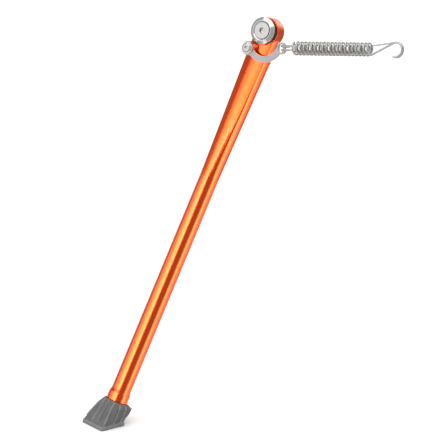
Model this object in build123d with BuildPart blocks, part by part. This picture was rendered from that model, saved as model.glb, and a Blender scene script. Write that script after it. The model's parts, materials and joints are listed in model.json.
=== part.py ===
from build123d import *
from math import acos, atan2, cos, degrees, radians, sin, sqrt
import os

# Self-retracting motorcycle side stand, standing deployed with its sole on level ground.
# Millimetres. Origin: centre of the pivot, on the axis of the round bar. +Z up, +X towards the rear
# wheel, -Y outboard, away from the motorcycle. The pivot axis rises outboard, so the leg splays.

os.makedirs("parts", exist_ok=True)

# ---------------------------------------------------------------- driving dimensions
axis_tilt = 22.0          # rise of the pivot axis, outboard, in degrees
leg_angle = 258.0         # leg in the swing plane, degrees anticlockwise from rearward
ground_distance = 408.6   # pivot to ground along the leg axis

bar_radius = 9.6
collar_radius = 10.7
collar_start = 376.0      # distances along the leg, from the pivot
collar_end = 384.6
collar_flare = 5.0
spigot_radius = 6.0
spigot_length = 9.0
flare_sagitta = 0.4
collar_edge = 0.8
foot_screw_radius = 3.0
foot_thread_depth = 16.0
dowel_offset = 8.3        # outboard of the leg axis
dowel_radius = 1.5
dowel_length = 12.0
clearance = 0.25

eye_radius = 13.6
eye_front = 7.5           # heights along the pivot axis, positive outboard
eye_back = -4.2
bush_radius = 9.5
running_gap = 0.05
eye_edge = 0.6
bore_edge = 0.7

blade_sections = 5
blade_start = 34.0        # end of the parallel neck
blade_end = 150.0         # start of the round bar
neck_half_width = 13.2    # at the pivot
blade_half_width = 12.4   # at blade_start
blade_half_depth = 8.6
blade_corner = (10.8, 6.3)
crease_angle = 42.0       # where the creases die out on the bar, degrees from the pivot axis
crease_spread = 12.0      # half the angle that the crease has widened to there
crease_trace = 0.01       # height it still has there
crease_radius = 0.7

recess_radius = 29.0      # clearance for the frame lug, at the back of the eye
recess_floor = -2.4

anchor_down = 21.0        # spring link pivot on the leg, along the leg
anchor_side = -7.0        # and across it
anchor_seat = 6.5         # height of its spot face
anchor_bore = 2.5
seat_gap = 0.2

foot_yaw = -19.0          # of the sole plate about Z, degrees
sole_size = (32.2, 27.2)        # of the ribs, where they meet the sole plate
sole_offset = (-2.0, -3.0)      # centre of the sole from the leg axis
sole_corner = 2.5
sole_edge = 0.5
rim_height = 3.6
rim_ledge = 0.4
rim_bevel = (0.5, 1.8)          # in from the edge, and down
belly_size = (33.0, 29.0)       # widest section, between the sole plate and the shoulder
belly_offset = (-0.5, 0.3)
belly_share = 0.42              # of the way from the sole plate up to the shoulder
belly_corner = 5.0
shoulder_size = (28.5, 26.6)
shoulder_corner = 7.0
shoulder_drop = 4.0
top_half = 12.0
top_corner = 11.8
rib_count = 6             # plates through the leg axis, so twice as many ribs
rib_turn = 5.0            # of the first plate about the leg axis, degrees
rib_width = 1.0
rib_height = 0.9
rib_fade = 0.4            # share of the height that is left at the sole plate
washer_seat = 398.5
washer_radius = 5.9
washer_thickness = 1.2
counterbore_radius = 6.4
foot_screw_length = 18.0
foot_head_radius = 5.25
foot_head_height = 3.3
foot_head_round = 1.1
foot_hex_radius = 2.3
foot_hex_depth = 1.8
groove_pitch = 7.5
groove_width = 2.0
groove_depth = 1.2

bush_shoulder = 8.65      # where the flange's underside begins to widen
bush_body_length = 11.2
bush_edge = 0.6
bush_flange_height = 6.5
flange_radius = 13.0
flange_rim = 1.2
seat_rim_radius = 9.4
seat_rim_width = 0.5
nose_wide = 8.0           # of the hollow in the bush for the sleeve's nose
nose_depth = 3.4
nose_narrow = 5.6
bolt_radius = 4.0
screw_sink = 0.4
screw_length = 35.0
screw_head_radius = 8.0
screw_rim = 0.5
screw_point = 0.8
screw_hex_radius = 2.9
screw_hex_depth = 3.0
sleeve_radius = 8.15
sleeve_bore = 4.3
sleeve_foot = -13.6
sleeve_body = 9.8
sleeve_nose = 3.1
sleeve_groove = (4.6, 5.6)
sleeve_groove_depth = 0.4
sleeve_groove_slope = 0.2
o_rings = (
    # node, mean radius, section radius, height along the pivot axis
    ("large_o_ring", 11.25, 1.1, 8.65),
    ("small_o_ring", 9.5, 0.72, -5.0),
)

link_hole_radius = 4.5
link_bush_base = (5.4, 5.4)     # radius, height
link_bush_top = (4.4, 2.9)
link_screw_length = 14.0
link_flange_radius = 5.9
link_flange_height = 1.0
link_head_radius = 4.6
link_head_height = 2.4
link_head_round = 1.7
link_hex_radius = 1.75
link_hex_depth = 1.6
link_thickness = 2.5
link_centres = 36.6
link_eye_radius = 6.8
link_end_radius = 5.6
link_slot = (8.3, 4.7)
link_inner_radius = 15.2
link_arc_offset = 7.6           # centre of the inner arc, off the line of centres
link_crown = 6.2                # width of the band at its crown
link_band_trim = 2.0            # the band stops short of the line of centres by this much
link_end_length = 10.0
link_end_corner = 3.5

pull_angle = 10.0               # line of pull in the swing plane, deployed
post_distance = 166.0           # link pivot to frame post, deployed

spring_height = 16.1            # of the common spring axis, along the pivot axis
slot_contact = 0.8              # centre of the slot to the hook wires in it
hook_tail = 4.0
spring_knuckle = 1.1            # swelling of the wire where body and hook meet
hook_lead = 3.0
coil_start = 17.0               # from the slot, along the line of pull
coil_end = 102.0
link_play = 0.2
springs = (
    # node, wire, mean coil radius, turns, side of the coil that the link hook joins,
    # link hook (mean radius, offset across), post hook (mean radius, offset outboard, wrap)
    ("outer_spring", 1.9, 5.9, 20.5, 1, (2.9, 2.0), (6.85, 1.1, 215.0)),
    ("inner_spring", 1.4, 3.55, 28.5, -1, (2.6, -1.6), (7.3, -1.1, 225.0)),
)

# ---------------------------------------------------------------- planes and points
pivot_axis = Vector(0, -cos(radians(axis_tilt)), sin(radians(axis_tilt)))
swing_plane = Plane(origin=(0, 0, 0), x_dir=(1, 0, 0), z_dir=pivot_axis)


def swing_direction(angle):
    """Unit vector in the swing plane, anticlockwise from rearward as seen from outboard."""
    return swing_plane.from_local_coords(Vector(cos(radians(angle)), sin(radians(angle)), 0))


leg_direction = swing_direction(leg_angle)
side_direction = swing_direction(leg_angle + 90)
leg_face = Plane(origin=(0, 0, 0), x_dir=side_direction, z_dir=pivot_axis)
leg_section = Plane(origin=(0, 0, 0), x_dir=side_direction, z_dir=leg_direction)
leg_axis = Axis((0, 0, 0), leg_direction)
swing_axis = Axis((0, 0, 0), pivot_axis)

anchor = leg_direction * anchor_down + side_direction * anchor_side
pull_direction = swing_direction(pull_angle)
anchor_plane = Plane(origin=anchor, x_dir=pull_direction, z_dir=pivot_axis)


def mix(start, end, share):
    """Value a share of the way from start to end."""
    return start + (end - start) * share


def export(part, node):
    part.label = node
    export_step(part, f"parts/{node}.step")


# ---------------------------------------------------------------- leg
def arc_circle(half_chord, rise):
    """Radius of an arc from its half chord and its rise."""
    return (half_chord ** 2 + rise ** 2) / (2 * rise)


def soft_corner(width, depth, corner_x, corner_y, radius):
    """Start, middle and end of the arc that rounds a corner between two bulging faces."""
    face_radius = arc_circle(corner_x, depth - corner_y)
    side_radius = arc_circle(corner_y, width - corner_x)
    face_centre = Vector(0, depth - face_radius)
    side_centre = Vector(width - side_radius, 0)
    reach = face_radius - radius
    side_reach = side_radius - radius
    base = side_centre - face_centre
    along = (reach ** 2 - side_reach ** 2 + base.length ** 2) / (2 * base.length)
    across = sqrt(reach ** 2 - along ** 2)
    unit = base.normalized()
    centre = face_centre + unit * along + Vector(unit.Y, -unit.X) * across
    start = centre + (centre - face_centre).normalized() * radius
    end = centre + (centre - side_centre).normalized() * radius
    middle = centre + (start + end - centre * 2).normalized() * radius
    return start, middle, end


def draw_outline(width, depth, corner):
    """Closed outline of eight arcs: broad front and back faces, narrow sides, four soft creases."""
    start, middle, end = corner
    for x, y in ((1, 1), (-1, -1)):
        ThreePointArc((-start.X * x, start.Y * y), (0, depth * y), (start.X * x, start.Y * y))
        ThreePointArc((start.X * x, start.Y * y), (middle.X * x, middle.Y * y), (end.X * x, end.Y * y))
        ThreePointArc((end.X * x, end.Y * y), (width * x, 0), (end.X * x, -end.Y * y))
        ThreePointArc((end.X * x, -end.Y * y), (middle.X * x, -middle.Y * y), (start.X * x, -start.Y * y))


def draw_neck_section(width):
    """Outline of the blade's widest part, at a given half width."""
    corner_x = blade_corner[0] + width - blade_half_width
    corner = soft_corner(width, blade_half_depth, corner_x, blade_corner[1], crease_radius)
    draw_outline(width, blade_half_depth, corner)


def draw_blade_section(share):
    """Outline between the widest part, at share 0, and the round bar, at share 1."""
    width = mix(blade_half_width, bar_radius, share)
    depth = mix(blade_half_depth, bar_radius, share ** 2)
    if share == 1:
        corner = []
        for turn, rise in ((crease_spread, 0), (0, crease_trace), (-crease_spread, 0)):
            angle = radians(90 - crease_angle + turn)
            corner.append(Vector(cos(angle), sin(angle)) * (bar_radius + rise))
    else:
        corner_x = mix(blade_corner[0], bar_radius * sin(radians(crease_angle)), share)
        corner_y = mix(blade_corner[1], bar_radius * cos(radians(crease_angle)), share)
        radius = mix(crease_radius, bar_radius / 2, share)
        corner = soft_corner(width, depth, corner_x, corner_y, radius)
    draw_outline(width, depth, corner)


with BuildPart() as stand_leg:
    # flattened blade, from the round bar up to its widest section
    for step in range(blade_sections):
        share = step / (blade_sections - 1)
        with BuildSketch(leg_section.offset(mix(blade_start, blade_end, share))):
            with BuildLine():
                draw_blade_section(share)
            make_face()
    loft()
    # neck, from the widest section into the eye
    for distance, width in ((0, neck_half_width), (blade_start, blade_half_width)):
        with BuildSketch(leg_section.offset(distance)):
            with BuildLine():
                draw_neck_section(width)
            make_face()
    loft()
    # round bar, flared collar and spigot for the foot
    with BuildSketch(leg_face):
        with BuildLine():
            Polyline((0, -blade_end), (bar_radius, -blade_end), (bar_radius, collar_flare - collar_start))
            SagittaArc(
                (bar_radius, collar_flare - collar_start),
                (collar_radius, -collar_start),
                -flare_sagitta,
            )
            Polyline(
                (collar_radius, -collar_start),
                (collar_radius, collar_edge - collar_end),
                (collar_radius - collar_edge, -collar_end),
                (spigot_radius, -collar_end),
                (spigot_radius, -collar_end - spigot_length),
                (0, -collar_end - spigot_length),
                (0, -blade_end),
            )
        make_face()
    revolve(axis=leg_axis)
    # clearance for the frame lug: the back of the eye and the ring around it
    with BuildSketch(leg_face.offset(eye_back)):
        Circle(recess_radius)
    extrude(amount=-bar_radius, mode=Mode.SUBTRACT)
    with BuildSketch(leg_face.offset(recess_floor)):
        Circle(recess_radius)
        Circle(eye_radius, mode=Mode.SUBTRACT)
    extrude(amount=-bar_radius, mode=Mode.SUBTRACT)
    # spot face round the front of the eye
    with BuildSketch(leg_face.offset(eye_front)):
        Circle(eye_radius)
    extrude(amount=bar_radius, mode=Mode.SUBTRACT)
    # eye, with a bevelled front rim
    with BuildSketch(leg_section):
        with BuildLine():
            Polyline(
                (0, eye_back),
                (eye_radius, eye_back),
                (eye_radius, eye_front - eye_edge),
                (eye_radius - eye_edge, eye_front),
                (0, eye_front),
                close=True,
            )
        make_face()
    revolve(axis=swing_axis)
    # bore, bevelled at both ends
    bore_radius = bush_radius + running_gap
    with BuildSketch(leg_section):
        with BuildLine():
            Polyline(
                (0, eye_back),
                (bore_radius + bore_edge, eye_back),
                (bore_radius, eye_back + bore_edge),
                (bore_radius, eye_front - bore_edge),
                (bore_radius + bore_edge, eye_front),
                (0, eye_front),
                close=True,
            )
        make_face()
    revolve(axis=swing_axis, mode=Mode.SUBTRACT)
    # spot face and threaded hole for the spring link
    with BuildSketch(anchor_plane.offset(anchor_seat)):
        Circle(link_bush_base[0] + seat_gap)
    extrude(amount=bar_radius, mode=Mode.SUBTRACT)
    with BuildSketch(anchor_plane.offset(anchor_seat)):
        Circle(anchor_bore)
    extrude(amount=-2 * bar_radius, mode=Mode.SUBTRACT)
    # threaded hole for the foot screw, and half of the dowel hole
    with BuildSketch(leg_section.offset(collar_end + spigot_length)):
        Circle(foot_screw_radius)
    extrude(amount=-foot_thread_depth, mode=Mode.SUBTRACT)
    with BuildSketch(leg_section.offset(collar_end)):
        with Locations((0, dowel_offset)):
            Circle(dowel_radius)
    extrude(amount=-dowel_length / 2, mode=Mode.SUBTRACT)
export(stand_leg.part, "stand_leg")

# ---------------------------------------------------------------- foot
ground_point = leg_direction * ground_distance
foot_x = Vector(cos(radians(foot_yaw)), sin(radians(foot_yaw)), 0)
foot_y = Vector(-foot_x.Y, foot_x.X, 0)
sole_centre = ground_point + foot_x * sole_offset[0] + foot_y * sole_offset[1]
sole_plane = Plane(origin=sole_centre, x_dir=foot_x, z_dir=(0, 0, 1))
foot_top = leg_section.offset(collar_end)
shoulder_normal = (leg_direction * -1 + Vector(0, 0, 1)).normalized()
shoulder_x = (foot_x - shoulder_normal * foot_x.dot(shoulder_normal)).normalized()
shoulder_plane = Plane(
    origin=leg_direction * (collar_end + shoulder_drop),
    x_dir=shoulder_x,
    z_dir=shoulder_normal,
)
top_plane = Plane(origin=foot_top.origin, x_dir=shoulder_x, z_dir=leg_direction * -1)
rim_centre = sole_centre + Vector(0, 0, rim_height)
belly_centre = mix(rim_centre, shoulder_plane.origin, belly_share)
belly_plane = Plane(
    origin=belly_centre + foot_x * belly_offset[0] + foot_y * belly_offset[1],
    x_dir=foot_x,
    z_dir=(0, 0, 1),
)


def foot_body(inset):
    """Hipped block from the leg's end to the sole plate, drawn in below its top, and less at its foot."""
    levels = (
        (top_plane, (2 * top_half, 2 * top_half), top_corner, 0),
        (shoulder_plane, shoulder_size, shoulder_corner, inset),
        (belly_plane, belly_size, belly_corner, inset),
        (sole_plane.offset(rim_height), sole_size, sole_corner, inset * rib_fade),
    )
    with BuildPart() as block:
        for upper, lower in zip(levels, levels[1:]):
            for plane, size, corner, draw in (upper, lower):
                with BuildSketch(plane):
                    RectangleRounded(size[0] - 2 * draw, size[1] - 2 * draw, corner)
            loft()
    return block.part


with BuildPart() as foot_ribs:
    for index in range(rib_count):
        turn = Rot(0, 0, rib_turn + 180 * index / rib_count)
        with BuildSketch(Plane(leg_section.location * turn)):
            Rectangle(2 * sole_size[0], rib_width)
        extrude(amount=ground_distance)
    add(foot_body(0), mode=Mode.INTERSECT)

with BuildPart() as sole_plate:
    with BuildSketch(sole_plane):
        RectangleRounded(sole_size[0] + 2 * rim_ledge, sole_size[1] + 2 * rim_ledge, sole_corner)
    extrude(amount=rim_height)
    rim_face = sole_plate.faces().sort_by(Axis.Z)[-1]
    chamfer(rim_face.edges(), rim_bevel[0], rim_bevel[1], reference=rim_face)
    chamfer(sole_plate.faces().sort_by(Axis.Z)[0].edges(), sole_edge)

with BuildPart() as foot:
    add(sole_plate.part)
    add(foot_body(rib_height))
    add(foot_ribs.part)
    # socket for the spigot, screw hole and its counterbore, dowel hole
    with BuildSketch(foot_top):
        Circle(spigot_radius + running_gap)
    extrude(amount=spigot_length + running_gap, mode=Mode.SUBTRACT)
    with BuildSketch(foot_top):
        Circle(foot_screw_radius + clearance)
    extrude(amount=ground_distance - collar_end, mode=Mode.SUBTRACT)
    with BuildSketch(leg_section.offset(washer_seat)):
        Circle(counterbore_radius)
    extrude(amount=ground_distance, mode=Mode.SUBTRACT)
    with BuildSketch(foot_top):
        with Locations((0, dowel_offset)):
            Circle(dowel_radius)
    extrude(amount=dowel_length / 2, mode=Mode.SUBTRACT)
    # grip grooves across the sole
    with BuildSketch(sole_plane):
        with GridLocations(0, groove_pitch, 1, 3):
            Rectangle(2 * sole_size[0], groove_width)
    extrude(amount=groove_depth, mode=Mode.SUBTRACT)
export(foot.part, "foot")

with BuildPart() as foot_washer:
    with BuildSketch(leg_section.offset(washer_seat)):
        Circle(washer_radius)
        Circle(foot_screw_radius + clearance, mode=Mode.SUBTRACT)
    extrude(amount=washer_thickness)
export(foot_washer.part, "foot_washer")

foot_head_seat = washer_seat + washer_thickness
with BuildPart() as foot_screw:
    with BuildSketch(leg_section.offset(foot_head_seat)):
        Circle(foot_screw_radius)
    extrude(amount=-foot_screw_length)
    chamfer(foot_screw.faces().sort_by(leg_axis)[0].edges(), screw_point)
    with BuildSketch(leg_section.offset(foot_head_seat)):
        Circle(foot_head_radius)
    extrude(amount=foot_head_height)
    fillet(foot_screw.faces().sort_by(leg_axis)[-1].edges(), foot_head_round)
    with BuildSketch(leg_section.offset(foot_head_seat + foot_head_height)):
        RegularPolygon(foot_hex_radius, 6)
    extrude(amount=-foot_hex_depth, mode=Mode.SUBTRACT)
export(foot_screw.part, "foot_screw")

with BuildPart() as foot_dowel:
    with BuildSketch(leg_section.offset(collar_end - dowel_length / 2)):
        with Locations((0, dowel_offset)):
            Circle(dowel_radius)
    extrude(amount=dowel_length)
export(foot_dowel.part, "foot_dowel")

# ---------------------------------------------------------------- pivot hardware
# Each piece is a profile of radius and height along the pivot axis, turned about it.
bush_top = bush_shoulder + bush_flange_height
bush_foot = bush_shoulder - bush_body_length
with BuildPart() as pivot_flange_bush:
    with BuildSketch(leg_section):
        with BuildLine():
            Polyline(
                (nose_wide, bush_foot),
                (bush_radius - bush_edge, bush_foot),
                (bush_radius, bush_foot + bush_edge),
                (bush_radius, bush_shoulder),
                (flange_radius, bush_shoulder + flange_radius - bush_radius),
                (flange_radius, bush_shoulder + flange_radius - bush_radius + flange_rim),
                (seat_rim_radius + seat_rim_width, bush_top),
                (seat_rim_radius, bush_top),
                (bolt_radius + clearance, bush_top - (seat_rim_radius - bolt_radius - clearance)),
                (bolt_radius + clearance, bush_foot + nose_depth),
                close=True,
            )
        make_face()
    revolve(axis=swing_axis)
export(pivot_flange_bush.part, "pivot_flange_bush")

sleeve_end = sleeve_foot + sleeve_body
groove_floor = sleeve_radius - sleeve_groove_depth
with BuildPart() as pivot_sleeve:
    with BuildSketch(leg_section):
        with BuildLine():
            Polyline(
                (sleeve_bore, sleeve_foot),
                (sleeve_radius - bush_edge, sleeve_foot),
                (sleeve_radius, sleeve_foot + bush_edge),
                (sleeve_radius, sleeve_foot + sleeve_groove[0]),
                (groove_floor, sleeve_foot + sleeve_groove[0] + sleeve_groove_slope),
                (groove_floor, sleeve_foot + sleeve_groove[1] - sleeve_groove_slope),
                (sleeve_radius, sleeve_foot + sleeve_groove[1]),
                (sleeve_radius, sleeve_end),
                (nose_narrow, sleeve_end + sleeve_nose),
                (sleeve_bore, sleeve_end + sleeve_nose),
                close=True,
            )
        make_face()
    revolve(axis=swing_axis)
export(pivot_sleeve.part, "pivot_sleeve")

for node, ring_radius, section_radius, height in o_rings:
    with BuildPart() as o_ring:
        with BuildSketch(leg_section):
            with Locations((ring_radius, height)):
                Circle(section_radius)
        revolve(axis=swing_axis)
    export(o_ring.part, node)

screw_top = bush_top - screw_sink
screw_tip = screw_top - screw_length
with BuildPart() as pivot_screw:
    with BuildSketch(leg_section):
        with BuildLine():
            Polyline(
                (0, screw_tip),
                (bolt_radius - screw_point, screw_tip),
                (bolt_radius, screw_tip + screw_point),
                (bolt_radius, screw_top - screw_head_radius + bolt_radius - screw_rim),
                (screw_head_radius, screw_top - screw_rim),
                (screw_head_radius, screw_top),
                (0, screw_top),
                close=True,
            )
        make_face()
    revolve(axis=swing_axis)
    with BuildSketch(leg_face.offset(screw_top)):
        RegularPolygon(screw_hex_radius, 6)
    extrude(amount=-screw_hex_depth, mode=Mode.SUBTRACT)
export(pivot_screw.part, "pivot_screw")

# ---------------------------------------------------------------- spring link
base_radius, base_height = link_bush_base
step_radius, step_height = link_bush_top
with BuildPart() as link_bush:
    with BuildSketch(anchor_plane.offset(anchor_seat)):
        Circle(base_radius)
    extrude(amount=base_height)
    with BuildSketch(anchor_plane.offset(anchor_seat + base_height)):
        Circle(step_radius)
    extrude(amount=step_height)
    with BuildSketch(anchor_plane.offset(anchor_seat)):
        Circle(anchor_bore + clearance)
    extrude(amount=base_height + step_height, mode=Mode.SUBTRACT)
export(link_bush.part, "link_bush")

link_head_seat = anchor_seat + base_height + step_height
with BuildPart() as link_screw:
    with BuildSketch(anchor_plane.offset(link_head_seat)):
        Circle(anchor_bore)
    extrude(amount=-link_screw_length)
    with BuildSketch(anchor_plane.offset(link_head_seat)):
        Circle(link_flange_radius)
    extrude(amount=link_flange_height)
    with BuildSketch(anchor_plane.offset(link_head_seat + link_flange_height)):
        Circle(link_head_radius)
    extrude(amount=link_head_height)
    head_rim = link_screw.faces().sort_by(swing_axis)[-1].edges()
    fillet(head_rim, link_head_round)
    with BuildSketch(anchor_plane.offset(link_head_seat + link_flange_height + link_head_height)):
        RegularPolygon(link_hex_radius, 6)
    extrude(amount=-link_hex_depth, mode=Mode.SUBTRACT)
export(link_screw.part, "link_screw")

# The arc is centred on the pivot's side of the line of centres, so the band bulges away from it.
arc_centre = (link_centres / 2, link_arc_offset)
link_plane = anchor_plane.offset(anchor_seat + base_height + link_play)
with BuildPart() as spring_link:
    with BuildSketch(link_plane):
        with Locations(arc_centre):
            Circle(link_inner_radius + link_crown)
        with Locations((link_centres / 2, link_arc_offset + link_inner_radius)):
            Rectangle(4 * link_inner_radius, 2 * link_inner_radius + 2 * link_band_trim, mode=Mode.SUBTRACT)
        Circle(link_eye_radius)
        with Locations((link_centres, 0)):
            RectangleRounded(link_end_length, 2 * link_end_radius, link_end_corner)
        with Locations(arc_centre):
            Circle(link_inner_radius, mode=Mode.SUBTRACT)
        Circle(link_hole_radius, mode=Mode.SUBTRACT)
        with Locations((link_centres, 0)):
            SlotOverall(link_slot[0], link_slot[1], rotation=90, mode=Mode.SUBTRACT)
    extrude(amount=link_thickness)
export(spring_link.part, "spring_link")

# ---------------------------------------------------------------- springs
# Each runs from the slot of the link to the post on the frame. Its own frame starts at the slot,
# with x along the line of pull, y across it and z along the pivot axis.
slot_point = anchor + pull_direction * link_centres
pull_plane = Plane(origin=slot_point, x_dir=pull_direction, z_dir=pivot_axis)
link_middle = anchor_seat + base_height + link_play + link_thickness / 2
post_reach = post_distance - link_centres


def pull_point(x, y, z):
    return pull_plane.from_local_coords(Vector(x, y, z))


def link_hook(wire, radius, across, coil_side):
    """Path of the hook round the end of the link: tail, half turn through the slot, shank."""
    turn = slot_contact + radius
    with BuildLine() as path:
        Line(pull_point(turn + hook_tail, across, link_middle - radius),
             pull_point(turn, across, link_middle - radius))
        ThreePointArc(pull_point(turn, across, link_middle - radius),
                      pull_point(slot_contact, across, link_middle),
                      pull_point(turn, across, link_middle + radius))
        Line(pull_point(turn, across, link_middle + radius),
             pull_point(coil_start - hook_lead, across, link_middle + radius))
        Line(pull_point(coil_start - hook_lead, across, link_middle + radius),
             pull_point(coil_start, coil_side, spring_height))
    return path.wires()[0]


def post_hook(radius, coil_side, level, wrap):
    """Path of the hook round the frame post: shank tangent to the hook, then an open turn."""
    post = Vector(post_reach, 0)
    shank = Vector(coil_end, coil_side) - post
    lean = degrees(atan2(shank.Y, shank.X)) - degrees(acos(radius / shank.length))
    start = pull_point(coil_end, coil_side, spring_height + level)

    def on_hook(angle):
        along, across = radius * cos(radians(angle)), radius * sin(radians(angle))
        return pull_point(post_reach + along, across, spring_height + level)

    with BuildLine() as path:
        Line(start, on_hook(lean))
        ThreePointArc(on_hook(lean), on_hook(lean - wrap / 2), on_hook(lean - wrap))
    return path.wires()[0]


def build_spring(wire, coil_radius, turns, link_side, link_path, post_path):
    """Body stretched to its deployed length, with a hook at each end."""
    coil_plane = Plane(
        origin=pull_point(coil_start, 0, spring_height),
        x_dir=pull_plane.y_dir * link_side,
        z_dir=pull_direction,
    )
    length = coil_end - coil_start
    coil = coil_plane.from_local_coords(Edge.make_helix(length / turns, length, coil_radius))
    with BuildPart() as spring:
        for end in (coil @ 0, coil @ 1):
            with Locations(end):
                Sphere(wire / 2 * spring_knuckle)
        for path in (link_path, post_path, coil):
            with BuildSketch(Plane(origin=path @ 0, z_dir=path % 0)):
                Circle(wire / 2)
            sweep(path=path, transition=Transition.ROUND)
    return spring.part


for node, wire, coil_radius, turns, side, hook, wrap_hook in springs:
    link_path = link_hook(wire, hook[0], hook[1], side * coil_radius)
    post_path = post_hook(wrap_hook[0], -side * coil_radius, wrap_hook[1], wrap_hook[2])
    export(build_spring(wire, coil_radius, turns, side, link_path, post_path), node)
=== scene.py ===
"""Looks of a self-retracting motorcycle side stand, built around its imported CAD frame."""

import json
from math import acos, atan2, cos, pi, radians, sin, tan

import bpy
from mathutils import Matrix, Quaternion, Vector


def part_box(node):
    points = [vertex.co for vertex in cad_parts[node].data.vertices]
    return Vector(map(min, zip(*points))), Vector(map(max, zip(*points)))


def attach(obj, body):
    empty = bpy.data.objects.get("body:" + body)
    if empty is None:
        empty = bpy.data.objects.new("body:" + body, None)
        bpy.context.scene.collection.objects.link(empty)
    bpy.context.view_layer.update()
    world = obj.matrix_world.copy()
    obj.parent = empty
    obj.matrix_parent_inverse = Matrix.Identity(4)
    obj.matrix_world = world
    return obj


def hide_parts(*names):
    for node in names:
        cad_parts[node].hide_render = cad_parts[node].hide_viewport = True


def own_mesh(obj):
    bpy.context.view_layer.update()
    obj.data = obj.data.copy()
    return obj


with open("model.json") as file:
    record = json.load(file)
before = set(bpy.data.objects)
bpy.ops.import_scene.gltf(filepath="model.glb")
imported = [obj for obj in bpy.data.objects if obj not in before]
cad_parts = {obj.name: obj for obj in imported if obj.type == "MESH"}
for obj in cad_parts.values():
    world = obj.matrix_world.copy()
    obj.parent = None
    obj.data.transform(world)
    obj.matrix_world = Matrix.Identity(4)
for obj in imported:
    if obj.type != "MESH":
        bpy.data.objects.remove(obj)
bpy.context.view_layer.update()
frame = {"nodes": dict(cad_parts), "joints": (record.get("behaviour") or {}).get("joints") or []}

MM = 0.001

# ---------------------------------------------------------------- places, from the frame
nodes = frame["nodes"]
joints = {joint["name"]: joint for joint in frame["joints"]}
pivot_axis = Vector(joints["leg_swing"]["axis"]).normalized()
anchor = Vector(joints["link_pivot"]["pos_m"])
post = Vector(joints["spring_swing"]["pos_m"])
pull = (post - anchor).normalized()
across = pivot_axis.cross(pull)

LEG_ANGLE = radians(258)          # of the leg in the swing plane, anticlockwise from rearward
leg_down = Quaternion(pivot_axis, LEG_ANGLE) @ Vector((1, 0, 0))
leg_side = pivot_axis.cross(leg_down)


def reach(node, axis):
    """Lowest and highest place of a CAD node along an axis through the pivot."""
    places = [vertex.co.dot(axis) for vertex in nodes[node].data.vertices]
    return min(places), max(places)


def widest(node, axis):
    """Largest distance of a CAD node from an axis through the pivot."""
    return max(axis.cross(vertex.co).length for vertex in nodes[node].data.vertices)


# ---------------------------------------------------------------- meshes
WIRE_BEVEL = 0.3                  # of the wire's radius, at a cut end


def skin(name, rings, smooth_angle=40.0):
    """Closed mesh through rings that all have the same number of points, with UVs along and round it."""
    sides = len(rings[0])
    points = [point for ring in rings for point in ring]
    faces = []
    for row in range(len(rings) - 1):
        for side in range(sides):
            after = (side + 1) % sides
            low, high = row * sides, (row + 1) * sides
            faces.append((low + side, low + after, high + after, high + side))
    for row, order in ((0, -1), (len(rings) - 1, 1)):
        hub = len(points)
        points.append(sum((Vector(point) for point in rings[row]), Vector()) / sides)
        for side in range(sides):
            corner = (row * sides + side, row * sides + (side + 1) % sides, hub)
            faces.append(corner[::order])
    mesh = bpy.data.meshes.new(name)
    mesh.from_pydata([tuple(point) for point in points], [], faces)
    mesh.shade_smooth()
    mesh.set_sharp_from_angle(angle=radians(smooth_angle))
    lengths = [0.0]
    for row in range(1, len(rings)):
        lengths.append(lengths[-1] + (Vector(rings[row][0]) - Vector(rings[row - 1][0])).length)
    layer = mesh.uv_layers.new(name="along")
    for polygon in mesh.polygons:
        for loop in polygon.loop_indices:
            vertex = mesh.loops[loop].vertex_index
            row, side = divmod(min(vertex, len(rings) * sides - 1), sides)
            layer.data[loop].uv = (lengths[row], side / sides)
    piece = bpy.data.objects.new(name, mesh)
    bpy.context.scene.collection.objects.link(piece)
    return piece


def wire(name, path, radius, sides=20, chamfered=(True, True)):
    """Round wire along a list of points. A chamfered end is broken by a small bevel."""
    path = [Vector(point) for point in path]
    last = len(path) - 1
    tangents = [(path[min(i + 1, last)] - path[max(i - 1, 0)]).normalized() for i in range(last + 1)]
    bevel = WIRE_BEVEL * radius
    stations = [(i, 0.0, radius) for i in range(last + 1)]
    if chamfered[0]:
        stations.insert(0, (0, -bevel, radius - bevel))
    if chamfered[1]:
        stations.append((last, bevel, radius - bevel))
    normal = tangents[0].orthogonal().normalized()
    current = 0
    rings = []
    for i, step, size in stations:
        normal = (tangents[current].rotation_difference(tangents[i]) @ normal).normalized()
        current = i
        side = tangents[i].cross(normal)
        centre = path[i] + tangents[i] * step
        ring = []
        for k in range(sides):
            angle = 2 * pi * k / sides
            ring.append(centre + (normal * cos(angle) + side * sin(angle)) * size)
        rings.append(ring)
    return skin(name, rings)


# ---------------------------------------------------------------- springs
LINK_CENTRES = 36.6 * MM
LINK_MIDDLE = 13.35 * MM          # middle of the link plate, along the pivot axis
SPRING_HEIGHT = 16.1 * MM         # common axis of the springs, along the pivot axis
SLOT_CONTACT = 0.8 * MM           # middle of the slot to the wires in it
HOOK_TAIL = 4.0 * MM
COIL_START = 17.0 * MM            # from the middle of the slot, along the line of pull
COIL_END = 102.0 * MM
END_BEND = 0.45                   # of the last turn, that bends into the hook, in radians
HOOK_LEAD = 4.0 * MM
STEPS_PER_TURN = 28
LINK_HOOK_STEPS = 24
POST_HOOK_STEPS = 40
HEADING_STEP = 0.01               # round the coil, in radians, to find its direction
slot = anchor + pull * LINK_CENTRES
post_reach = (post - slot).length


def pull_point(x, y, z):
    """Point x from the slot along the line of pull, y across it and z along the pivot axis."""
    return slot + pull * x + across * y + pivot_axis * z


def bezier(start, start_direction, end, end_direction, tightness=0.45, steps=14):
    """Points of a smooth bend that leaves start and arrives at end in the given directions."""
    handle = (end - start).length * tightness
    first = start + start_direction * handle
    second = end - end_direction * handle
    points = []
    for step in range(steps + 1):
        t = step / steps
        s = 1 - t
        points.append(start * s ** 3 + first * 3 * s * s * t + second * 3 * s * t * t + end * t ** 3)
    return points


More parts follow.
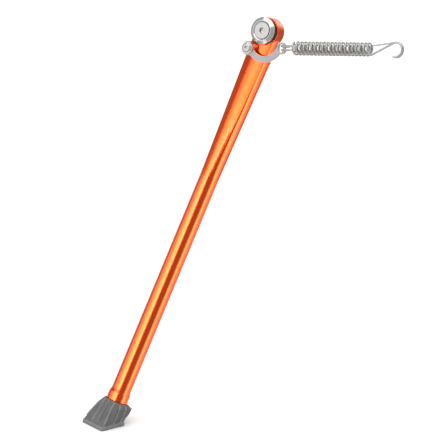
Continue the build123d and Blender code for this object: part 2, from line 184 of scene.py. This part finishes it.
def arc(centre, first_axis, second_axis, radius, start, end, steps):
    """Points on an arc from angle start to angle end."""
    points = []
    for step in range(steps + 1):
        angle = start + (end - start) * step / steps
        points.append(centre + (first_axis * cos(angle) + second_axis * sin(angle)) * radius)
    return points


def build_spring(node, wire_radius, coil_radius, turns, side, link_hook, post_hook):
    """Coil, link hook and post hook of one spring, as three wires that meet end to end."""

    def helix(angle):
        share = angle / (2 * pi * turns)
        x = COIL_START + (COIL_END - COIL_START) * share
        across_coil = side * coil_radius * cos(angle)
        return pull_point(x, across_coil, SPRING_HEIGHT + side * coil_radius * sin(angle))

    def heading(angle):
        return (helix(angle + HEADING_STEP) - helix(angle - HEADING_STEP)).normalized()

    first, last = END_BEND, 2 * pi * turns - END_BEND
    count = round(turns * STEPS_PER_TURN)
    path = [helix(first + (last - first) * i / count) for i in range(count + 1)]
    coil = wire(node + "_coil", path, wire_radius, sides=16, chamfered=(False, False))

    radius, offset = link_hook
    turn = SLOT_CONTACT + radius
    shank_end = pull_point(COIL_START - HOOK_LEAD, offset, LINK_MIDDLE + radius)
    path = bezier(helix(first), -heading(first), shank_end, -pull)
    centre = pull_point(turn, offset, LINK_MIDDLE)
    path += arc(centre, -pull, pivot_axis, radius, pi / 2, -pi / 2, LINK_HOOK_STEPS)
    path.append(pull_point(turn + HOOK_TAIL, offset, LINK_MIDDLE - radius))
    link_end = wire(node + "_link_hook", path, wire_radius, chamfered=(False, True))

    radius, level, wrap = post_hook
    centre = pull_point(post_reach, 0, SPRING_HEIGHT + level)
    corner = pull_point(COIL_END, -side * coil_radius, SPRING_HEIGHT + level)
    x, y = (corner - centre).dot(pull), (corner - centre).dot(across)
    lean = atan2(y, x) - acos(radius / (corner - centre).length)
    touch = centre + (pull * cos(lean) + across * sin(lean)) * radius
    shank = (touch - corner).normalized()
    path = bezier(helix(last), heading(last), corner + shank * HOOK_LEAD, shank)
    path += arc(centre, pull, across, radius, lean, lean - wrap, POST_HOOK_STEPS)
    post_end = wire(node + "_post_hook", path, wire_radius, chamfered=(False, True))
    return coil, link_end, post_end


def make_springs(material):
    """Nested springs. Each hook rides with what it is bent round."""
    springs = (
        # node, wire radius, mean coil radius, turns, side of the coil that the link hook joins,
        # link hook (radius, offset across), post hook (radius, offset outboard, wrap)
        ("outer_spring", 0.95, 5.9, 20.5, 1, (2.9, 2.0), (6.85, 1.1, 215)),
        ("inner_spring", 0.7, 3.55, 28.5, -1, (2.6, -1.6), (7.3, -1.1, 225)),
    )
    for node, wire_radius, coil_radius, turns, side, link_hook, post_hook in springs:
        coil, link_end, post_end = build_spring(
            node, wire_radius * MM, coil_radius * MM, turns, side,
            (link_hook[0] * MM, link_hook[1] * MM),
            (post_hook[0] * MM, post_hook[1] * MM, radians(post_hook[2])),
        )
        for piece, body in ((coil, "springs"), (link_end, "link"), (post_end, "springs")):
            piece.data.materials.append(material)
            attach(piece, body)
            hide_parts(node)
        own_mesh(coil)


# ---------------------------------------------------------------- threaded screw
THREAD_PITCH = 1.25 * MM
THREAD_DEPTH = 0.68 * MM
THREAD_ROWS = 10                  # mesh rows in one pitch
SCREW_SIDES = 48                  # a multiple of 6, for the hexagon
THREAD_TAPER = 0.9                # rise of the radius for each unit of height, at the point
THREAD_SHARPNESS = 2.6            # slope of the flanks, in thread depths for each pitch
THREAD_CREST = 0.15               # taken off the slope for a flat crest, in thread depths
THREAD_RUN_OUT = 1.5              # pitches below the head where the thread fades out
HEAD_RIM = 0.5 * MM
HEAD_EDGE = (0.15 * MM, 0.12 * MM)   # bevel of the head's edge: in from it, and down
HEX_RADIUS = 2.9 * MM
HEX_DEPTH = 3.0 * MM
HEX_EDGE = 0.25 * MM
HEX_FLOOR = (0.6 * MM, 1.0 * MM)     # drill point of the socket: end radius and depth
screw_axes = (Vector((1, 0, 0)), pivot_axis.cross(Vector((1, 0, 0))))


def make_pivot_screw(material):
    """Countersunk screw with a helical thread and a hexagon socket."""
    low, high = reach("pivot_screw", pivot_axis)
    head_radius = widest("pivot_screw", pivot_axis)
    shank_radius = head_radius / 2
    head_start = high - HEAD_RIM - (head_radius - shank_radius)

    def point_at(radius, height, angle):
        outward = screw_axes[0] * cos(angle) + screw_axes[1] * sin(angle)
        return pivot_axis * height + outward * radius

    def circle(radius, height):
        return [point_at(radius, height, 2 * pi * k / SCREW_SIDES) for k in range(SCREW_SIDES)]

    def thread(height):
        ring = []
        for k in range(SCREW_SIDES):
            angle = 2 * pi * k / SCREW_SIDES
            phase = (height / THREAD_PITCH - k / SCREW_SIDES) % 1.0
            flank = min(1.0, max(0.0, abs(phase - 0.5) * THREAD_SHARPNESS - THREAD_CREST))
            point_taper = shank_radius - THREAD_DEPTH + (height - low) * THREAD_TAPER
            run_out = min(1.0, max(0.0, (head_start - height) / (THREAD_RUN_OUT * THREAD_PITCH)))
            depth = THREAD_DEPTH * flank * run_out
            ring.append(point_at(min(shank_radius - depth, max(point_taper, 0)), height, angle))
        return ring

    def hexagon(radius, height):
        ring = []
        for k in range(SCREW_SIDES):
            angle = 2 * pi * k / SCREW_SIDES
            local = (angle + pi / 6) % (pi / 3) - pi / 6
            ring.append(point_at(radius * cos(pi / 6) / cos(local), height, angle))
        return ring

    row_height = THREAD_PITCH / THREAD_ROWS
    rows = int((head_start - low) / row_height)
    rings = [thread(low + row * row_height) for row in range(rows + 1)]
    rings.append(circle(shank_radius, head_start))
    rings.append(circle(head_radius, high - HEAD_RIM))
    rings.append(circle(head_radius, high - HEAD_EDGE[1]))
    rings.append(circle(head_radius - HEAD_EDGE[0], high))
    rings.append(hexagon(HEX_RADIUS + HEX_EDGE, high))
    rings.append(hexagon(HEX_RADIUS, high - HEX_EDGE))
    rings.append(hexagon(HEX_RADIUS, high - HEX_DEPTH))
    rings.append(circle(HEX_FLOOR[0], high - HEX_DEPTH - HEX_FLOOR[1]))
    screw = skin("pivot_screw_threaded", rings, smooth_angle=32)
    screw.data.materials.append(material)
    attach(screw, "pivot")
    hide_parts("pivot_screw")


# ---------------------------------------------------------------- materials
SHARP_EDGE = (0.995, 0.93)        # cosines from a rounded normal to a flat one: off an edge, and on it
RING_SCALE = 5000.0               # of the marks that turning leaves
RING_DEPTH = 0.003 * MM
RIM_HEIGHT = 3.4 * MM             # of the sole plate, whose rim has painted light on it
RIM_FADE = 0.3 * MM
PLATE_BEVEL = 0.35 * MM
# light colour, dark colour and roughness of the turned steels
POLISHED_STEEL = ((0.84, 0.835, 0.825, 1), (0.76, 0.755, 0.745, 1), 0.14)
SCREW_STEEL = ((0.74, 0.73, 0.71, 1), (0.64, 0.63, 0.61, 1), 0.24)


def add(tree, kind, values=None, **settings):
    """Shader node of a kind, with its settings, and a value or a link for each named input."""
    node = tree.nodes.new("ShaderNode" + kind)
    for key, value in settings.items():
        setattr(node, key, value)
    for key, value in (values or {}).items():
        if isinstance(value, bpy.types.NodeSocket):
            tree.links.new(value, node.inputs[key])
        else:
            node.inputs[key].default_value = value
    return node


def new_material(name, **values):
    """Material with one Principled shader, and its node tree."""
    material = bpy.data.materials.new(name)
    material.use_nodes = True
    tree = material.node_tree
    shader = tree.nodes["Principled BSDF"]
    for key, value in values.items():
        shader.inputs[key.replace("_", " ")].default_value = value
    return material, tree, shader


def position(tree):
    """Place on the piece, in metres in the shared frame."""
    return add(tree, "TexCoord").outputs["Object"]


def math_node(tree, operation, first, second=0.0):
    return add(tree, "Math", {0: first, 1: second}, operation=operation).outputs[0]


def along_axes(tree, axes):
    """Coordinates along three directions, each multiplied by its own scale."""
    place = position(tree)
    parts = []
    for axis, scale in axes:
        dot = add(tree, "VectorMath", {0: place, 1: axis}, operation="DOT_PRODUCT").outputs["Value"]
        parts.append(math_node(tree, "MULTIPLY", dot, scale))
    return add(tree, "CombineXYZ", {0: parts[0], 1: parts[1], 2: parts[2]}).outputs[0]


def turned(tree, centre, axis):
    """Coordinates of a turned piece: distance from its axis, height along it, and nothing round it."""
    offset = add(tree, "VectorMath", {0: position(tree), 1: centre}, operation="SUBTRACT").outputs[0]
    height = add(tree, "VectorMath", {0: offset, 1: axis}, operation="DOT_PRODUCT").outputs["Value"]
    swept = add(tree, "VectorMath", {0: offset, 1: axis}, operation="CROSS_PRODUCT").outputs[0]
    radius = add(tree, "VectorMath", {0: swept}, operation="LENGTH").outputs["Value"]
    return add(tree, "CombineXYZ", {
        0: math_node(tree, "MULTIPLY", radius, RING_SCALE),
        1: math_node(tree, "MULTIPLY", height, RING_SCALE),
    }).outputs[0]


def noise(tree, vector, scale, detail=3.0, roughness=0.55):
    """Fractal noise, about 0.3 to 0.7."""
    values = {"Scale": scale, "Detail": detail, "Roughness": roughness, "Vector": vector}
    return add(tree, "TexNoise", values).outputs["Fac"]


def spread(tree, value, low, high, to_low=0.0, to_high=1.0):
    """A value carried from the range low to high into another range, and held at its ends."""
    values = {"Value": value, "From Min": low, "From Max": high, "To Min": to_low, "To Max": to_high}
    return add(tree, "MapRange", values).outputs["Result"]


def blend_colours(tree, factor, first, second):
    """The first colour where the factor is 0 and the second where it is 1. Either may be a link."""
    node = add(tree, "Mix", data_type="RGBA")
    tree.links.new(factor, node.inputs[0])
    for index, colour in ((6, first), (7, second)):
        if isinstance(colour, bpy.types.NodeSocket):
            tree.links.new(colour, node.inputs[index])
        else:
            node.inputs[index].default_value = colour
    return node.outputs[2]


def soft_edges(tree, radius):
    """Normals rounded over the edges, and a mask that is 1 on the edges."""
    rounded = add(tree, "Bevel", {"Radius": radius}, samples=6).outputs[0]
    flat = add(tree, "NewGeometry").outputs["Normal"]
    same = add(tree, "VectorMath", {0: rounded, 1: flat}, operation="DOT_PRODUCT").outputs["Value"]
    return rounded, spread(tree, same, *SHARP_EDGE)


def bump(tree, height, distance, strength=1.0, normal=None):
    values = {"Height": height, "Distance": distance, "Strength": strength}
    if normal is not None:
        values["Normal"] = normal
    return add(tree, "Bump", values).outputs[0]


def connect(tree, shader, **sockets):
    """Links sockets to the shader's inputs of the same names."""
    for key, socket in sockets.items():
        tree.links.new(socket, shader.inputs[key.replace("_", " ")])


def anodised_material():
    """Orange anodised aluminium: satin drawn grain along the leg under a clear sealed skin."""
    material, tree, shader = new_material(
        "anodised_orange", Metallic=1.0, Coat_Weight=0.65, Coat_Roughness=0.05, Coat_IOR=1.5)
    grain_place = along_axes(tree, ((leg_down, 6.0), (leg_side, 900.0), (pivot_axis, 900.0)))
    grain = noise(tree, grain_place, 1.0, detail=4.0)
    mottle = noise(tree, position(tree), 45.0, detail=2.0)
    speck = noise(tree, position(tree), 2600.0, detail=2.0)
    rounded, edge = soft_edges(tree, 0.35 * MM)
    deep = (0.93, 0.088, 0.004, 1)
    bright = (0.98, 0.100, 0.006, 1)
    drawn = (0.88, 0.072, 0.003, 1)
    # colour of a painted highlight along the edges
    painted_edge_highlight = (1.0, 0.30, 0.08, 1)
    colour = blend_colours(tree, spread(tree, mottle, 0.3, 0.7), deep, bright)
    colour = blend_colours(tree, spread(tree, grain, 0.35, 0.75, 0.0, 0.35), colour, drawn)
    # Painted highlight: the edges are lightened towards this colour.
    colour = blend_colours(tree, math_node(tree, "MULTIPLY", edge, 0.35), colour, painted_edge_highlight)
    roughness = spread(tree, grain, 0.3, 0.7, 0.14, 0.22)
    coarse = math_node(tree, "MULTIPLY", grain, 0.7)
    height = math_node(tree, "ADD", coarse, math_node(tree, "MULTIPLY", speck, 0.3))
    connect(tree, shader, Base_Color=colour, Roughness=roughness,
            Normal=bump(tree, height, 0.004 * MM, normal=rounded))
    return material


def cast_material():
    """Cast foot in matte grey: a grainy, cloudy skin, a painted highlight on the edges and painted light on
    the rim of the sole plate.
    """
    material, tree, shader = new_material("cast_grey_foot", Metallic=0.25, Specular_IOR_Level=0.4)
    place = position(tree)
    grit = noise(tree, place, 1500.0, detail=5.0, roughness=0.65)
    pits = add(tree, "TexVoronoi", {"Vector": place, "Scale": 900.0}).outputs["Distance"]
    cloud = noise(tree, place, 120.0, detail=3.0)
    rounded, edge = soft_edges(tree, 0.5 * MM)
    dark = (0.090, 0.090, 0.092, 1)
    pale = (0.125, 0.125, 0.127, 1)
    colour = blend_colours(tree, spread(tree, cloud, 0.3, 0.7), dark, pale)
    colour = blend_colours(tree, spread(tree, grit, 0.45, 0.75, 0.0, 0.5), colour, (0.165, 0.165, 0.165, 1))
    # Painted highlight: the edges, and so the ribs, are lightened towards this grey.
    colour = blend_colours(tree, math_node(tree, "MULTIPLY", edge, 0.9), colour, (0.46, 0.46, 0.46, 1))
    level = add(tree, "SeparateXYZ", {0: place}).outputs["Z"]
    rim_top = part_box("foot")[0].z + RIM_HEIGHT
    rim = spread(tree, level, rim_top + RIM_FADE, rim_top - RIM_FADE)
    # Painted light: the rim of the sole plate is lightened towards a paler grey, varied by the clouds.
    painted_rim_light = math_node(tree, "MULTIPLY", rim, spread(tree, cloud, 0.25, 0.6, 0.5, 1.0))
    colour = blend_colours(tree, painted_rim_light, colour, (0.17, 0.17, 0.17, 1))
    roughness = spread(tree, grit, 0.3, 0.7, 0.48, 0.68)
    height = math_node(tree, "ADD", grit, spread(tree, pits, 0.0, 0.35, -0.6, 0.0))
    connect(tree, shader, Base_Color=colour, Roughness=roughness,
            Normal=bump(tree, height, 0.08 * MM, strength=0.8, normal=rounded))
    return material


def turned_material(name, centre, light, dark, rough):
    """Steel turned on a lathe: fine rings round its axis, polished smooth."""
    material, tree, shader = new_material(name, Metallic=1.0)
    rings = noise(tree, turned(tree, centre, pivot_axis), 1.0, detail=3.0)
    smear = noise(tree, position(tree), 260.0, detail=3.0)
    rounded, edge = soft_edges(tree, 0.2 * MM)
    colour = blend_colours(tree, spread(tree, smear, 0.3, 0.7), dark, light)
    # Painted highlight: the edges are lightened towards near white.
    colour = blend_colours(tree, math_node(tree, "MULTIPLY", edge, 0.5), colour, (0.95, 0.95, 0.95, 1))
    roughness = math_node(tree, "ADD", spread(tree, rings, 0.3, 0.7, rough * 0.8, rough * 1.2),
                          spread(tree, smear, 0.4, 0.8, 0.0, 0.08))
    connect(tree, shader, Base_Color=colour, Roughness=roughness,
            Normal=bump(tree, rings, RING_DEPTH, normal=rounded))
    return material


def plate_material():
    """Stainless plate, cut and bead blasted: an even satin grain, with a painted highlight along the edges.
    """
    material, tree, shader = new_material("blasted_plate", Metallic=1.0)
    place = position(tree)
    grain = noise(tree, place, 3800.0, detail=3.0, roughness=0.7)
    cloud = noise(tree, place, 200.0, detail=3.0)
    rounded, edge = soft_edges(tree, 0.3 * MM)
    dark = (0.50, 0.485, 0.47, 1)
    pale = (0.60, 0.585, 0.57, 1)
    colour = blend_colours(tree, spread(tree, cloud, 0.3, 0.7), dark, pale)
    # Painted highlight: the edges are lightened towards a paler steel.
    colour = blend_colours(tree, math_node(tree, "MULTIPLY", edge, 0.5), colour, (0.8, 0.8, 0.79, 1))
    connect(tree, shader, Base_Color=colour, Roughness=spread(tree, grain, 0.3, 0.7, 0.34, 0.48),
            Normal=bump(tree, grain, 0.012 * MM, normal=rounded))
    return material


def wire_material():
    """Drawn stainless wire: fine darker lines along it on a cloudy grey."""
    material, tree, shader = new_material("drawn_wire", Metallic=1.0)
    uv = add(tree, "UVMap", uv_map="along").outputs[0]
    stretched = add(tree, "VectorMath", {0: uv, 1: (300.0, 26.0, 1.0)}, operation="MULTIPLY").outputs[0]
    lines = noise(tree, stretched, 1.0, detail=3.0)
    cloud = noise(tree, position(tree), 420.0, detail=3.0)
    dark = (0.52, 0.505, 0.49, 1)
    pale = (0.72, 0.71, 0.69, 1)
    colour = blend_colours(tree, spread(tree, cloud, 0.3, 0.7), dark, pale)
    colour = blend_colours(tree, spread(tree, lines, 0.45, 0.8, 0.0, 0.5), colour, (0.40, 0.385, 0.37, 1))
    connect(tree, shader, Base_Color=colour, Roughness=spread(tree, lines, 0.3, 0.7, 0.16, 0.3),
            Normal=bump(tree, lines, 0.006 * MM))
    return material


def rubber_material():
    """Black nitrile rubber: matte, with a fine moulded skin."""
    material, tree, shader = new_material("nitrile_rubber", Specular_IOR_Level=0.35, Sheen_Weight=0.15)
    place = position(tree)
    skin_grain = noise(tree, place, 2400.0, detail=3.0)
    dust = noise(tree, place, 300.0, detail=4.0)
    black = (0.011, 0.011, 0.012, 1)
    dusty = (0.028, 0.028, 0.028, 1)
    colour = blend_colours(tree, spread(tree, dust, 0.4, 0.8), black, dusty)
    connect(tree, shader, Base_Color=colour, Roughness=spread(tree, skin_grain, 0.3, 0.7, 0.5, 0.7),
            Normal=bump(tree, skin_grain, 0.02 * MM))
    return material


def dress(material, *names):
    """Gives CAD nodes a material in place of the plain one."""
    for name in names:
        slots = nodes[name].data.materials
        slots.clear()
        slots.append(material)


dress(anodised_material(), "stand_leg")
dress(cast_material(), "foot")
dress(turned_material("turned_bright", (0, 0, 0), *POLISHED_STEEL), "pivot_flange_bush", "pivot_sleeve")
dress(turned_material("turned_bright_link", tuple(anchor), *POLISHED_STEEL), "link_bush")
screw_steel = turned_material("screw_steel", (0, 0, 0), *SCREW_STEEL)
dress(turned_material("screw_steel_link", tuple(anchor), *SCREW_STEEL), "link_screw")
dress(screw_steel, "foot_screw", "foot_washer", "foot_dowel")
dress(plate_material(), "spring_link")
soften = nodes["spring_link"].modifiers.new("edges", "BEVEL")
soften.width = PLATE_BEVEL
soften.segments = 2
soften.limit_method = "ANGLE"
soften.angle_limit = radians(50)
dress(rubber_material(), "large_o_ring", "small_o_ring")

make_springs(wire_material())
make_pivot_screw(screw_steel)


# ---------------------------------------------------------------- studio
CAMERA_AZIMUTH = radians(34.8)
CAMERA_ELEVATION = radians(20)
LENS = 800.0
SENSOR = 36.0
VIEW_WIDTH = 427.4 * MM           # of the frame, at the middle of the stand's depth
MIDDLE_DEPTH = 28.0 * MM          # from the pivot to there, away from the camera
PIVOT_IN_VIEW = (43.6 * MM, 182.6 * MM)   # pivot right of and above the middle of the frame
CLIP = (0.05, 100.0)
FLOOR_SIZE = 40.0
WORLD_FILL = 1.0                  # grey level of the backdrop and fill
SURROUND = 0.4                    # grey level that glossy surfaces reflect between the lights
TOP_PANEL = (2.0, 3.0, 0.9)       # height, side and radiance
FOOT_PANEL = (1.0, 0.5, 3.4)      # distance, side and radiance
FOOT_PANEL_FACING = Vector((-0.45, -0.89, 0.1)).normalized()
STRIP_SHIFT = 0.14                # along the leg, for each metre of distance
STRIP_TOP = -1.4                  # ends of the strips, along the leg from the pivot
STRIP_FOOT = 1.8
BLADE_END = 0.14                  # upper ends of the strips that reach the blade's lower part and the bar
BLADE_MIDDLE = 0.08
STRIPS = (
    # name, start and end round the leg in degrees from the pivot axis, radiance, distance,
    # upper end along the leg, whether it lights the leg alone
    ("panel_left", -42, 14, 0.7, 1.4, STRIP_TOP, False),
    ("panel_right", 75, 122, 0.7, 1.4, STRIP_TOP, False),
    ("panel_behind", 160, 205, 0.6, 1.4, STRIP_TOP, False),
    ("strip_left", -42, -32, 0.5, 1.3, STRIP_TOP, True),
    ("strip_middle", -32, -20, 1.4, 1.3, STRIP_TOP, True),
    ("strip_bright", -20, 2, 2.2, 1.3, STRIP_TOP, True),
    ("strip_key", 2, 13, 0.8, 1.3, STRIP_TOP, True),
    ("strip_right", 82, 108, 3.0, 1.3, STRIP_TOP, True),
    ("strip_far_right", 108, 140, 1.0, 1.3, STRIP_TOP, True),
    ("strip_behind", 172, 192, 1.4, 1.3, STRIP_TOP, True),
    ("strip_rear_left", -170, -92, 0.35, 1.3, STRIP_TOP, True),
    ("strip_far_left_low", -70, -46, 1.4, 1.2, BLADE_END, True),
    ("strip_left_low", -46, -32, 1.5, 1.2, BLADE_END, True),
    ("strip_middle_low", -32, -20, 1.4, 1.2, BLADE_MIDDLE, True),
    ("strip_bright_low", -20, 0, 2.2, 1.2, BLADE_MIDDLE, True),
    ("strip_key_low", 0, 13, 4.6, 1.2, BLADE_MIDDLE, True),
)

to_camera = Vector((
    sin(CAMERA_AZIMUTH) * cos(CAMERA_ELEVATION),
    -cos(CAMERA_AZIMUTH) * cos(CAMERA_ELEVATION),
    sin(CAMERA_ELEVATION),
))
view_right = Vector((cos(CAMERA_AZIMUTH), sin(CAMERA_AZIMUTH), 0))
view_up = to_camera.cross(view_right)
aim = -view_right * PIVOT_IN_VIEW[0] - view_up * PIVOT_IN_VIEW[1] - to_camera * MIDDLE_DEPTH


def make_camera():
    data = bpy.data.cameras.new("camera")
    data.lens = LENS
    data.sensor_width = SENSOR
    distance = VIEW_WIDTH * LENS / SENSOR
    data.clip_start, data.clip_end = CLIP
    camera = bpy.data.objects.new("camera", data)
    camera.location = aim + to_camera * distance
    camera.rotation_mode = "QUATERNION"
    camera.rotation_quaternion = (-to_camera).to_track_quat("-Z", "Y")
    bpy.context.scene.collection.objects.link(camera)
    bpy.context.scene.camera = camera


def stage_plane(name, centre, width_axis, height_axis, width, height):
    """Rectangle that is part of the studio, not of the object."""
    corners = []
    for x, y in ((-1, -1), (1, -1), (1, 1), (-1, 1)):
        corners.append(centre + width_axis * (x * width / 2) + height_axis * (y * height / 2))
    mesh = bpy.data.meshes.new(name)
    mesh.from_pydata([tuple(corner) for corner in corners], [], [(0, 1, 2, 3)])
    plane = bpy.data.objects.new(name, mesh)
    bpy.context.scene.collection.objects.link(plane)
    return plane


def area_light(name, centre, facing, upright, width, height, radiance, receivers=None):
    """Rectangular light of a given radiance that shines against its facing direction."""
    data = bpy.data.lights.new(name, "AREA")
    data.shape = "RECTANGLE"
    data.size = width
    data.size_y = height
    data.energy = radiance * pi * width * height
    light = bpy.data.objects.new(name, data)
    sideways = upright.cross(facing).normalized()
    turn = Matrix((sideways, facing.cross(sideways), facing)).transposed()
    light.location = centre
    light.rotation_mode = "QUATERNION"
    light.rotation_quaternion = turn.to_quaternion()
    light.visible_camera = False
    light.light_linking.receiver_collection = receivers
    bpy.context.scene.collection.objects.link(light)


def make_floor():
    floor_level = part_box("foot")[0].z
    floor = stage_plane("floor", Vector((0, 0, floor_level)), Vector((1, 0, 0)), Vector((0, 1, 0)),
                        FLOOR_SIZE, FLOOR_SIZE)
    floor.visible_glossy = False
    floor.visible_shadow = False
    material, _, shader = new_material("floor_white", Roughness=0.7, Specular_IOR_Level=0.2)
    shader.inputs["Base Color"].default_value = (0.9, 0.9, 0.9, 1)
    floor.data.materials.append(material)


def make_world():
    """White backdrop and soft fill, with a dark surround for the reflections."""
    world = bpy.data.worlds.new("studio")
    world.use_nodes = True
    tree = world.node_tree
    background = tree.nodes["Background"]
    background.inputs["Color"].default_value = (WORLD_FILL, WORLD_FILL, WORLD_FILL, 1)
    surround = add(tree, "Background", {"Color": (SURROUND, SURROUND, SURROUND, 1)}).outputs[0]
    reflected = add(tree, "LightPath").outputs["Is Glossy Ray"]
    mixed = add(tree, "MixShader", {0: reflected, 1: background.outputs[0], 2: surround}).outputs[0]
    tree.links.new(mixed, tree.nodes["World Output"].inputs["Surface"])
    bpy.context.scene.world = world


def make_lights():
    """Tall panels that stand round the leg, parallel to it, one that lights the foot, and one overhead."""
    leg_only = bpy.data.collections.new("lit_by_strips")
    leg_only.objects.link(nodes["stand_leg"])
    foot_only = bpy.data.collections.new("lit_from_the_left")
    foot_only.objects.link(nodes["foot"])
    foot_centre = (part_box("foot")[0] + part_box("foot")[1]) / 2
    distance, side, radiance = FOOT_PANEL
    area_light("foot_panel", foot_centre + FOOT_PANEL_FACING * distance, FOOT_PANEL_FACING,
               Vector((0, 0, 1)), side, side, radiance, foot_only)
    for name, start, end, radiance, distance, top, for_leg in STRIPS:
        angle = radians((start + end) / 2)
        facing = pivot_axis * cos(angle) + leg_side * sin(angle)
        along = STRIP_SHIFT * distance + (top + STRIP_FOOT) / 2
        centre = facing * distance + leg_down * along
        width = 2 * distance * tan(radians((end - start) / 2))
        area_light(name, centre, facing, -leg_down, width, STRIP_FOOT - top, radiance,
                   leg_only if for_leg else None)
    height, side, radiance = TOP_PANEL
    area_light("top_panel", Vector((0, 0, height)), Vector((0, 0, 1)), Vector((0, 1, 0)),
               side, side, radiance)


make_camera()
make_floor()
make_world()
make_lights()
bpy.context.scene.view_settings.view_transform = "Standard"
